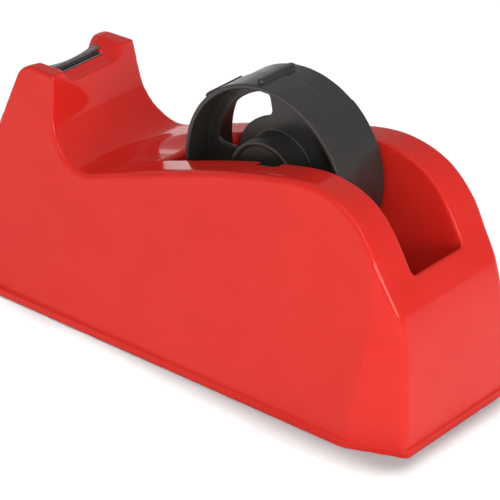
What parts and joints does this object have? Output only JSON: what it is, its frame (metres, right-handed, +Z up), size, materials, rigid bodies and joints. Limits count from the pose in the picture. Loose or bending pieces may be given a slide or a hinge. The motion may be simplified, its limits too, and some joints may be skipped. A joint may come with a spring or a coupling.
{
  "type": "bench tape dispenser",
  "caption": "Weighted moulded bench tape dispenser: a blade tower at one end, a hollow body with a deep roll well, and a lift-out ribbed core wheel on an axle.",
  "frame": {"origin": "on the bench under the middle of the body's length and width, level with the underside of the feet", "axes": "+X from the blade towards the roll end, +Y to the left when looking along +X, +Z up"},
  "size_m": [0.2256, 0.082, 0.1136],
  "materials": {
    "red_plastic": "glossy moulded",
    "black_plastic": "fine moulded texture",
    "wheel_plastic": "semi-gloss moulded",
    "nylon": "smooth",
    "blade_steel": "ground and toothed",
    "clip_steel": "drawn",
    "axle_steel": "turned",
    "zinc_screw": "zinc plated",
    "iron": "sand cast",
    "rubber": "matt"
  },
  "bodies": {
    "body": {"body_shell": "red_plastic", "base_plate": "black_plastic", "base_screws": "zinc_screw", "front_ballast": "iron", "rear_ballast": "iron", "ballast_screws": "zinc_screw", "blade": "blade_steel", "blade_clip": "clip_steel", "blade_wedge": "black_plastic", "foot_front_left": "rubber", "foot_front_right": "rubber", "foot_rear_left": "rubber", "foot_rear_right": "rubber"},
    "axle_set": {"axle": "axle_steel", "axle_glide_left": "nylon", "axle_glide_right": "nylon"},
    "wheel": {"core_wheel": "wheel_plastic"}
  },
  "joints": [
    {"name": "wheel_lift", "type": "slide", "parent": "body", "child": "axle_set", "axis": [0.5508, 0, 0.8346], "range_m": [0, 0.08]},
    {"name": "wheel_spin", "type": "hinge", "parent": "axle_set", "child": "wheel", "pos_m": [0.02845, 0, 0.0757], "axis": [0, 1, 0], "continuous": true}
  ]
}
